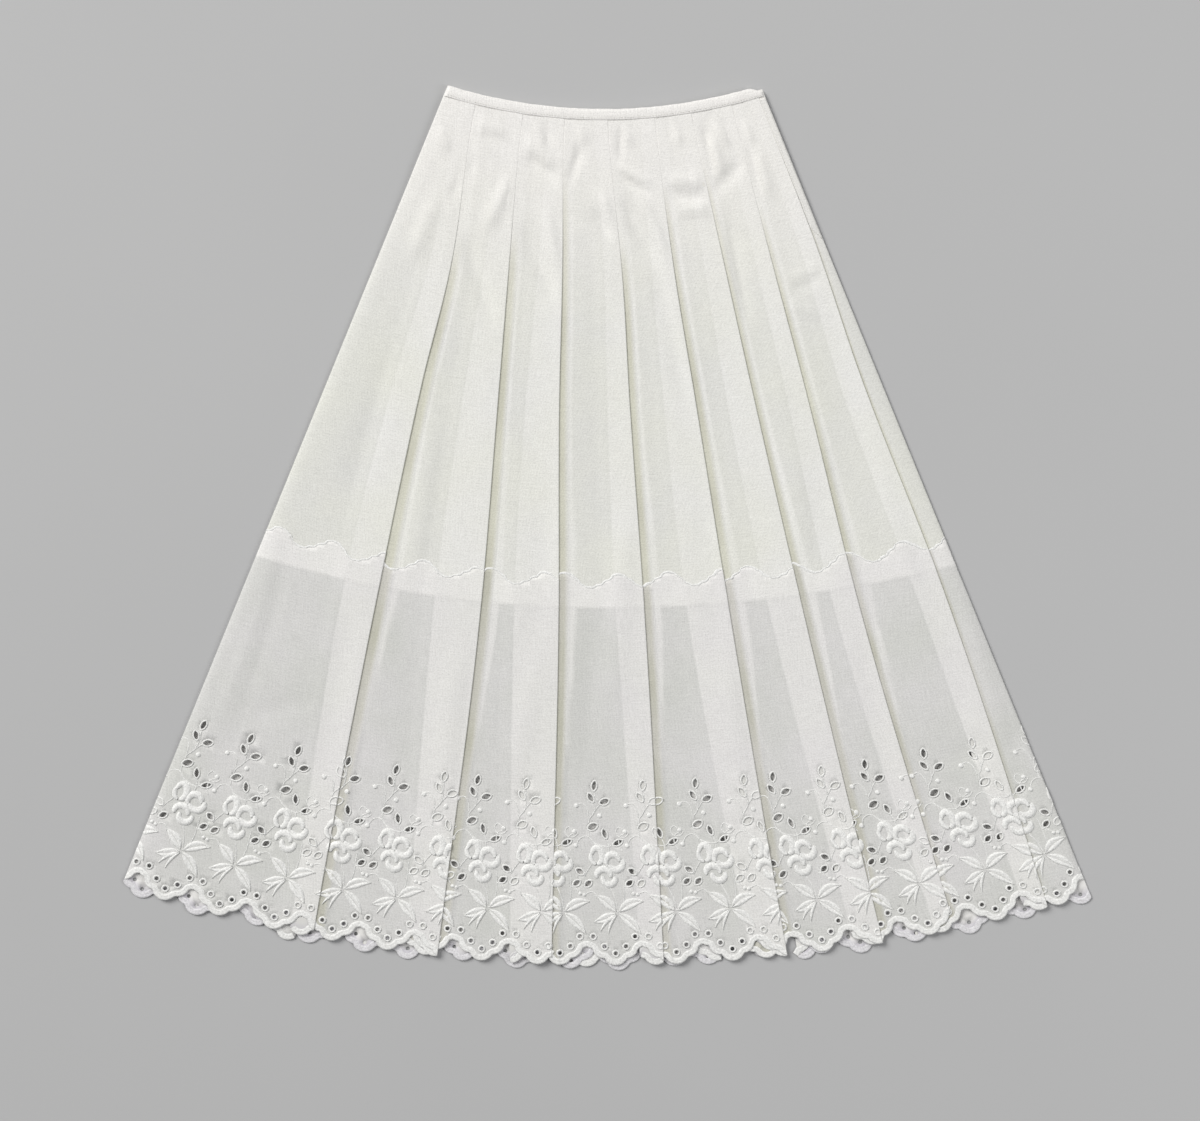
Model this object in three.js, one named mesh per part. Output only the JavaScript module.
// A long skirt of fine white cotton, laid flat with its front up.
// Knife pleats are folded into both halves and held by a narrow waist binding.
// A wide embroidered border with cut eyelets and a scalloped hem is joined on along a wavy edge.
// Millimetres, +Z up off the surface it lies on, +Y towards the waist, +X to the viewer's right.

import * as THREE from "three";

const degree = Math.PI / 180;

// The skirt is a fan. Every place on it is an angle from the middle line and a radius from the
// point where its two side edges would meet.
const sideAngle = 22.2;
const bandTopRadius = 407;
const bandWidth = 11;
const joinRadius = 905;
const sprigTopRadius = 1070;
const flowerRadius = 1211;
const hemRadius = 1262;

// The edges are a little flatter than true circles: their ends lie further out than their middles.
const waistSag = { left: 7, right: 7 };
const lowerSag = { left: 16, right: 26 };

const clothThickness = 1.0;
const layerGap = 0.4;
const seamGap = 0.3;
const layerPitch = clothThickness + layerGap;
const stackHeight = 2 * layerPitch + clothThickness;
const bandThickness = 3.0;
const frontBase = stackHeight + seamGap;
const frontEdgeBase = clothThickness + seamGap;

// How a front pleat lies: a pressed crease stands beside each fold edge, and the cloth then climbs
// over the under layers of the next pleat.
const creaseHeight = 0.9;
const foldFoot = 1.5;
const foldClearance = 3.0;
const sideCreaseAngle = -20.4;
// How a back pleat lies: face down on the surface, with a short drop beside each fold.
const dropStart = 2.0;
const dropWidth = 15;

// Pleat tables, a row for each pleat from the viewer's left of its own face. The values in each
// list stand at these radii: waist, hip, thigh, join and hem.
const stations = [bandTopRadius + bandWidth, 560, 700, joinRadius, hemRadius];
// fold is the angle of the fold edge in degrees, under how far the cloth runs back beneath it,
// and strip how far the pressed crease stands beyond it.
const frontPleats = [
  { fold: [-17.8, -15.4, -15.0, -14.3, -13.3], under: [14, 20, 27, 34, 22.6], strip: [4, 8, 11, 14, 11] },
  { fold: [-11.2, -9.7, -8.7, -7.8, -7.6], under: [15, 23, 34, 46, 31.7], strip: [4, 8, 10, 15, 12] },
  { fold: [-5.5, -4.3, -3.7, -2.9, -2.4], under: [15, 23, 33, 44, 41.3], strip: [4, 8, 11, 12, 10] },
  { fold: [0.4, 1.7, 2.05, 2.5, 2.7], under: [13, 17, 22, 28, 22.4], strip: [4, 7, 10, 14, 11] },
  { fold: [6.85, 6.95, 7.4, 7.8, 8.3], under: [14, 21, 31, 41, 35.5], strip: [4, 5, 8, 11, 11] },
  { fold: [11.9, 12.0, 12.1, 12.3, 12.65], under: [13, 19, 26, 32, 27.6], strip: [3, 4, 5, 8, 12] },
  { fold: [17.5, 16.7, 16.3, 15.75, 15.95], under: [11, 15, 19, 24, 19.0], strip: [3, 4, 5, 6, 5] },
  { fold: [21.3, 21.3, 20.8, 20.9, 20.2], under: [10, 15, 21, 26, 22.0], strip: null },
];
const backPleats = [
  { fold: [-17.2, -16.4, -15.6, -14.8, -14.2], under: [14, 20, 26, 32, 26] },
  { fold: [-11.6, -10.9, -10.2, -9.4, -8.8], under: [14, 21, 29, 37, 33] },
  { fold: [-6.2, -5.6, -5.0, -4.2, -3.7], under: [15, 22, 30, 40, 36] },
  { fold: [-0.6, 0.0, 0.6, 1.0, 1.3], under: [14, 20, 27, 34, 29] },
  { fold: [4.9, 5.3, 5.7, 6.1, 6.5], under: [13, 19, 26, 33, 27] },
  { fold: [10.0, 10.3, 10.6, 10.9, 11.2], under: [14, 20, 28, 36, 31] },
  { fold: [14.6, 14.7, 14.8, 14.9, 15.2], under: [13, 18, 24, 30, 25] },
  { fold: [18.6, 18.5, 18.6, 18.8, 19.0], under: [12, 16, 21, 26, 24] },
];

// The border repeats along the cloth every eight quarters of an old French inch.
const repeat = 54.14;
// One scallop of the hem: along is measured from the flower's centre, down from its radius.
// Low points alone make the outline where a layer is hidden.
const scallop = [
  { along: -30.5, down: 34, low: true },
  { along: -24.8, down: 36 },
  { along: -21.0, down: 43 },
  { along: -12.9, down: 46 },
  { along: -8.0, down: 52, low: true },
  { along: 3.0, down: 52, low: true },
  { along: 8.9, down: 46 },
  { along: 16.5, down: 42.5 },
  { along: 19.8, down: 35.7 },
];
// The largest cut eyelets of one sprig: place from the flower's centre, half sizes and lean.
const eyelets = [
  { along: -24, up: 86, length: 4.6, width: 3.0, lean: 35 },
  { along: -12, up: 111, length: 4.2, width: 2.6, lean: 20 },
  { along: -22, up: 127, length: 4.2, width: 2.2, lean: 80 },
  { along: -26, up: 115, length: 4.2, width: 2.2, lean: 120 },
  { along: 1, up: 70, length: 4.2, width: 2.2, lean: 10 },
  { along: -37, up: 41, length: 3.8, width: 2.4, lean: -35 },
];
const eyeletMargin = 1.2;
const outlineMargin = 0.8;
// The wavy edge of the join: highs and lows about its own middle radius.
const wave = { radius: 878.5, height: 6.5, points: 4, hiddenPoints: 2 };
// start is where a flower lies along the flat cloth, waveStart where the join stands highest.
const frontPattern = { start: -427.2, hemDrop: 0, waveStart: -3.7 };
const backPattern = { start: -458.5, hemDrop: 8, waveStart: 0 };

const placket = { bottomRadius: 566, from: 0.12, to: 0.94 };
const bandSteps = 24;
const evenStep = 14;

const clothColour = "#ece9e2";
const borderColour = "#e9e8ea";
const bandColour = "#f0eee8";

function interpolate(values, radius) {
  let k = 0;
  while (k < stations.length - 2 && radius > stations[k + 1]) k += 1;
  const part = (radius - stations[k]) / (stations[k + 1] - stations[k]);
  return values[k] + part * (values[k + 1] - values[k]);
}

function sag(angle, radius) {
  const side = angle < 0 ? "left" : "right";
  const reach = THREE.MathUtils.clamp((radius - bandTopRadius) / (joinRadius - bandTopRadius), 0, 1);
  const most = THREE.MathUtils.lerp(waistSag[side], lowerSag[side], reach);
  return most * (angle / sideAngle) ** 2;
}

// A place by its angle in degrees, its radius, a small shift sideways and its height.
function fanPoint(angle, radius, shift, z) {
  const reach = radius + sag(angle, radius);
  const turn = angle * degree;
  const x = reach * Math.sin(turn) + shift * Math.cos(turn);
  const y = -reach * Math.cos(turn) + shift * Math.sin(turn);
  return new THREE.Vector3(x, y, z);
}

function millimetresToAngle(length, radius) {
  return length / radius / degree;
}

// A column is a line from waist to hem along which the cloth bends. It gives its angle at a radius,
// how far along the flat cloth it lies, and the side shift and height of both faces of the wall.
// Where the cloth turns round a fold, both columns of the turn share one outline place.
function column(angle, along, face, under, outlineAlong = along) {
  return { angle, along, face, under, outlineAlong };
}

function level(base) {
  return { face: { shift: 0, z: base + clothThickness }, under: { shift: 0, z: base } };
}

function flatAlong(pleats, passed, angle) {
  return (radius) => {
    const hidden = pleats.slice(0, passed).reduce(
      (sum, pleat) => sum + 2 * interpolate(pleat.under, radius) + 2 * layerPitch, 0);
    return angle(radius) * degree * radius + hidden;
  };
}

// The fold itself: over the edge, back beneath it, and forward again on the third layer.
function foldColumns(pleats, k) {
  const pleat = pleats[k];
  const edge = (radius) => interpolate(pleat.fold, radius);
  const inner = (radius) => edge(radius) - millimetresToAngle(interpolate(pleat.under, radius), radius);
  const over = flatAlong(pleats, k, edge);
  const back = (radius) => over(radius) + layerPitch;
  const turned = (radius) => back(radius) + interpolate(pleat.under, radius);
  const forward = (radius) => turned(radius) + layerPitch;
  const top = 2 * layerPitch + clothThickness;
  const middle = layerPitch;
  const t = clothThickness;
  return [
    column(edge, over, { shift: 0, z: top }, { shift: -t, z: top - t }),
    column(edge, back, { shift: 0, z: middle }, { shift: -t, z: middle + t }, over),
    column(inner, turned, { shift: t, z: middle }, { shift: 0, z: middle + t }),
    column(inner, forward, { shift: t, z: t }, { shift: 0, z: 0 }, turned),
  ];
}

function levelColumn(pleats, passed, angle, base) {
  const { face, under } = level(base);
  return column(angle, flatAlong(pleats, passed, angle), face, under);
}

// Heights here start at the lowest layer of the front.
function frontColumns() {
  const pleats = frontPleats;
  const edgeDrop = frontEdgeBase - frontBase;
  const columns = [
    levelColumn(pleats, 0, () => -sideAngle, edgeDrop),
    levelColumn(pleats, 0, () => sideCreaseAngle, creaseHeight / 2),
  ];
  pleats.forEach((pleat, k) => {
    const edge = (r) => interpolate(pleat.fold, r);
    const climbTop = (r) => edge(r) - millimetresToAngle(interpolate(pleat.under, r) + foldClearance, r);
    columns.push(levelColumn(pleats, k, climbTop, 2 * layerPitch), ...foldColumns(pleats, k));
    columns.push(levelColumn(pleats, k + 1, (r) => edge(r) + millimetresToAngle(foldFoot, r), 0));
    if (pleat.strip) {
      const crease = (r) => edge(r) + millimetresToAngle(interpolate(pleat.strip, r), r);
      columns.push(levelColumn(pleats, k + 1, crease, creaseHeight));
    }
  });
  columns.push(levelColumn(pleats, pleats.length, () => sideAngle, edgeDrop));
  return columns;
}

// Heights here are measured down from the top of the back's stack, so its panels lie on the surface.
function backColumns() {
  const pleats = backPleats;
  const columns = [levelColumn(pleats, 0, () => -sideAngle, 2 * layerPitch)];
  pleats.forEach((pleat, k) => {
    const edge = (r) => interpolate(pleat.fold, r);
    const beside = (reach) => (r) => edge(r) + millimetresToAngle(reach, r);
    columns.push(...foldColumns(pleats, k));
    columns.push(levelColumn(pleats, k + 1, beside(dropStart), 0));
    columns.push(levelColumn(pleats, k + 1, beside(dropStart + dropWidth), 2 * layerPitch));
  });
  columns.push(levelColumn(pleats, pleats.length, () => sideAngle, 2 * layerPitch));
  return columns;
}

function placeFront(angle, radius, shift, z) {
  return fanPoint(angle, radius, shift, frontBase + z);
}

function placeBack(angle, radius, shift, z) {
  return fanPoint(-angle, radius, -shift, stackHeight - z);
}

const halves = {
  front: { columns: frontColumns(), pattern: frontPattern, place: placeFront },
  back: { columns: backColumns(), pattern: backPattern, place: placeBack },
};

// The hem and the wave are outlines along the flat cloth: lists of places with a radius each.
function repeated(from, to, start, period, makePoints) {
  const points = [];
  const first = Math.floor((from - start) / period) - 1;
  const last = Math.ceil((to - start) / period) + 1;
  for (let k = first; k <= last; k += 1) points.push(...makePoints(start + k * period));
  return points;
}

function hemOutline(pattern, hidden) {
  return (from, to) => repeated(from, to, pattern.start, repeat, (centre) => scallop
    .filter((point) => point.low || !hidden)
    .map((point) => ({ along: centre + point.along, radius: flowerRadius + pattern.hemDrop + point.down })));
}

function waveOutline(pattern, hidden, gap) {
  const count = hidden ? wave.hiddenPoints : wave.points;
  return (from, to) => repeated(from, to, pattern.waveStart, repeat / count, (along) => [{
    along,
    radius: wave.radius + gap - wave.height * Math.cos((2 * Math.PI * (along - pattern.waveStart)) / repeat),
  }]);
}

function evenOutline(radius) {
  return (from, to) => repeated(from, to, 0, evenStep, (along) => [{ along, radius }]);
}

function outlineRadius(outline, along) {
  const points = outline(along, along);
  const k = points.findIndex((point) => point.along > along);
  const part = (along - points[k - 1].along) / (points[k].along - points[k - 1].along);
  return points[k - 1].radius + part * (points[k].radius - points[k - 1].radius);
}

// Outline points of an edge that lie strictly between two columns.
function between(edge, hidden, left, right) {
  const from = left.along(edge.radius);
  const to = right.along(edge.radius);
  if (to - from < 3 * outlineMargin) return [];
  return edge.outline(hidden)(from, to)
    .filter((point) => point.along > from + outlineMargin && point.along < to - outlineMargin)
    .map((point) => ({ part: (point.along - from) / (to - from), radius: point.radius }));
}

function isHidden(columns, k) {
  const middleHeight = (c) => (c.face.z + c.under.z) / 2;
  const turned = columns[k].face.z < columns[k].under.z || columns[k + 1].face.z < columns[k + 1].under.z;
  const beneath = columns[k].face.shift > 0 && middleHeight(columns[k]) < clothThickness;
  return turned || beneath;
}

// Six-sided eyelets that lie wholly between two columns.
function eyeletsBetween(half, k) {
  const left = half.columns[k];
  const right = half.columns[k + 1];
  if (isHidden(half.columns, k)) return [];
  const from = left.along(flowerRadius);
  const to = right.along(flowerRadius);
  const centreAngle = (along) => left.angle(flowerRadius)
    + ((along - from) / (to - from)) * (right.angle(flowerRadius) - left.angle(flowerRadius));
  const centres = repeated(from, to, half.pattern.start, repeat, (along) => [along]);
  const holes = [];
  centres.forEach((centre) => eyelets.forEach((eyelet) => {
    const corners = [[1, 0], [0.5, 1], [-0.5, 1], [-1, 0], [-0.5, -1], [0.5, -1]].map(([a, b]) => {
      const lean = eyelet.lean * degree;
      const along = a * eyelet.length * Math.cos(lean) - b * eyelet.width * Math.sin(lean);
      const up = a * eyelet.length * Math.sin(lean) + b * eyelet.width * Math.cos(lean);
      const radius = flowerRadius + half.pattern.hemDrop - eyelet.up - up;
      const angle = centreAngle(centre) + millimetresToAngle(eyelet.along + along, radius);
      const width = right.angle(radius) - left.angle(radius);
      const margin = millimetresToAngle(eyeletMargin, radius) / width;
      const part = (angle - left.angle(radius)) / width;
      return { part, radius, inside: part > margin && part < 1 - margin };
    });
    if (corners.every((corner) => corner.inside)) holes.push(corners);
  }));
  return holes;
}

// A folded wall between two outlines. rows are the inner radii, holes lie below the last of them.
function foldedWall(half, top, rows, bottom, withEyelets) {
  const { columns, place } = half;
  const faces = [];
  const placed = [];
  const edgeRadius = (edge, c) => outlineRadius(edge.outline(false), c.outlineAlong(edge.radius));

  function addPoint(left, right, part, radius) {
    const mix = (a, b) => a + part * (b - a);
    const angle = mix(left.angle(radius), right.angle(radius));
    placed.push(["face", "under"].map((side) => place(
      angle, radius, mix(left[side].shift, right[side].shift), mix(left[side].z, right[side].z))));
    return { part, radius, index: placed.length - 1 };
  }

  const grid = columns.map((c) => [edgeRadius(top, c), ...rows, edgeRadius(bottom, c)]
    .map((radius) => addPoint(c, c, 0, radius)));
  const lastRow = rows.length;

  for (let k = 0; k < columns.length - 1; k += 1) {
    const [left, right] = [columns[k], columns[k + 1]];
    const hidden = isHidden(columns, k);
    for (let row = 0; row <= lastRow; row += 1) {
      const add = (point) => addPoint(left, right, point.part, point.radius);
      const along = (edge, shown) => (shown ? between(edge, hidden, left, right).map(add) : []);
      const corner = (c, r, part) => ({ ...grid[c][r], part });
      const contour = [
        corner(k, row, 0), corner(k, row + 1, 0), ...along(bottom, row === lastRow),
        corner(k + 1, row + 1, 1), corner(k + 1, row, 1), ...along(top, row === 0).reverse(),
      ];
      const holes = withEyelets && row === lastRow
        ? eyeletsBetween(half, k).map((hole) => hole.map(add)) : [];
      faces.push(...triangles(contour, holes, left, right));
    }
  }
  return closeWall(faces, placed);
}

// Triangles of one cell of the flat cloth, each seen from the cloth's face.
function triangles(contour, holes, left, right) {
  const flat = (point) => new THREE.Vector2(
    point.part * Math.max(right.along(point.radius) - left.along(point.radius), 0.1), -point.radius);
  const cut = THREE.ShapeUtils.triangulateShape(contour.map(flat), holes.map((hole) => hole.map(flat)));
  const points = [...contour, ...holes.flat()];
  return cut.map((face) => {
    const [a, b, c] = face.map((i) => flat(points[i]));
    const turnsLeft = (b.x - a.x) * (c.y - a.y) - (b.y - a.y) * (c.x - a.x) > 0;
    const indices = face.map((i) => points[i].index);
    return turnsLeft ? indices : indices.reverse();
  });
}

// The face, the underside turned over, and a narrow wall wherever the cloth has an edge.
function closeWall(faces, placed) {
  const directed = new Set(faces.flatMap(([a, b, c]) => [`${a} ${b}`, `${b} ${c}`, `${c} ${a}`]));
  const indices = [];
  const face = (i) => 2 * i;
  const under = (i) => 2 * i + 1;
  faces.forEach(([a, b, c]) => {
    indices.push(face(a), face(b), face(c), under(a), under(c), under(b));
    [[a, b], [b, c], [c, a]].forEach(([from, to]) => {
      if (directed.has(`${to} ${from}`)) return;
      indices.push(face(to), face(from), under(from), face(to), under(from), under(to));
    });
  });
  const geometry = new THREE.BufferGeometry();
  geometry.setAttribute("position", new THREE.Float32BufferAttribute(
    placed.flatMap((pair) => pair.flatMap((p) => [p.x, p.y, p.z])), 3));
  geometry.setIndex(indices);
  geometry.computeVertexNormals();
  return geometry;
}

// The plain cloth, from under the binding to the wavy join.
function upperCloth(half) {
  const topRadius = bandTopRadius + bandWidth + seamGap;
  const top = { outline: () => evenOutline(topRadius), radius: topRadius };
  const seam = (hidden) => waveOutline(half.pattern, hidden, -seamGap / 2);
  const bottom = { outline: seam, radius: wave.radius };
  return foldedWall(half, top, stations.slice(1, 3), bottom, false);
}

// The embroidered border, from the wavy join to the scalloped hem. Each scallop lies under its own
// flower, so the hem is measured along the cloth at the flowers' radius.
function border(half) {
  const top = { outline: (hidden) => waveOutline(half.pattern, hidden, seamGap / 2), radius: wave.radius };
  const bottom = { outline: (hidden) => hemOutline(half.pattern, hidden), radius: flowerRadius };
  return foldedWall(half, top, [joinRadius, sprigTopRadius], bottom, true);
}

// One half of the narrow binding round the waist.
function waistBinding(base) {
  const sections = [];
  for (let k = 0; k <= bandSteps; k += 1) {
    const angle = sideAngle * ((2 * k) / bandSteps - 1);
    const corner = (radius, z) => fanPoint(angle, radius, 0, z);
    sections.push([
      corner(bandTopRadius, base), corner(bandTopRadius, base + bandThickness),
      corner(bandTopRadius + bandWidth, base + bandThickness), corner(bandTopRadius + bandWidth, base),
    ]);
  }
  return loft(sections);
}

// The narrow strip that faces the side opening. It lies on the last stretch of the front cloth.
function sidePlacket() {
  const columns = halves.front.columns;
  const [foot, side] = columns.slice(-2);
  const radii = [stations[0] + 2 * seamGap, 490, placket.bottomRadius];
  const lift = clothThickness + seamGap;
  const sections = radii.map((radius) => {
    const corner = (part, height) => {
      const angle = foot.angle(radius) + part * (side.angle(radius) - foot.angle(radius));
      const z = foot.under.z + part * (side.under.z - foot.under.z);
      return placeFront(angle, radius, 0, z + lift + height);
    };
    return [
      corner(placket.from, 0), corner(placket.from, clothThickness),
      corner(placket.to, clothThickness), corner(placket.to, 0),
    ];
  });
  return loft(sections.reverse());
}

// A closed body through four-cornered sections, with both ends capped. Seen along the way it runs,
// each section's corners go round clockwise.
function loft(sections) {
  const indices = [];
  const last = sections.length - 1;
  for (let k = 0; k < last; k += 1) {
    for (let side = 0; side < 4; side += 1) {
      const [a, b] = [4 * k + side, 4 * k + ((side + 1) % 4)];
      indices.push(a, b, b + 4, a, b + 4, a + 4);
    }
  }
  indices.push(0, 2, 1, 0, 3, 2);
  indices.push(4 * last, 4 * last + 1, 4 * last + 2, 4 * last, 4 * last + 2, 4 * last + 3);
  const geometry = new THREE.BufferGeometry();
  geometry.setAttribute("position", new THREE.Float32BufferAttribute(
    sections.flatMap((section) => section.flatMap((p) => [p.x, p.y, p.z])), 3));
  geometry.setIndex(indices);
  geometry.computeVertexNormals();
  return geometry;
}

function piece(name, geometry, colour) {
  const material = new THREE.MeshStandardMaterial({ color: colour, roughness: 0.85, metalness: 0 });
  const mesh = new THREE.Mesh(geometry, material);
  mesh.name = name;
  return mesh;
}

const skirt = new THREE.Group();
skirt.add(
  piece("skirt_back", upperCloth(halves.back), clothColour),
  piece("border_back", border(halves.back), borderColour),
  piece("waist_binding_back", waistBinding(0), bandColour),
  piece("skirt_front", upperCloth(halves.front), clothColour),
  piece("border_front", border(halves.front), borderColour),
  piece("waist_binding_front", waistBinding(bandThickness + seamGap), bandColour),
  piece("side_placket", sidePlacket(), clothColour),
);

// The frame's origin lies under the middle of the skirt's box.
const middle = new THREE.Box3().setFromObject(skirt).getCenter(new THREE.Vector3());
skirt.position.set(-middle.x, -middle.y, 0);

export default skirt;
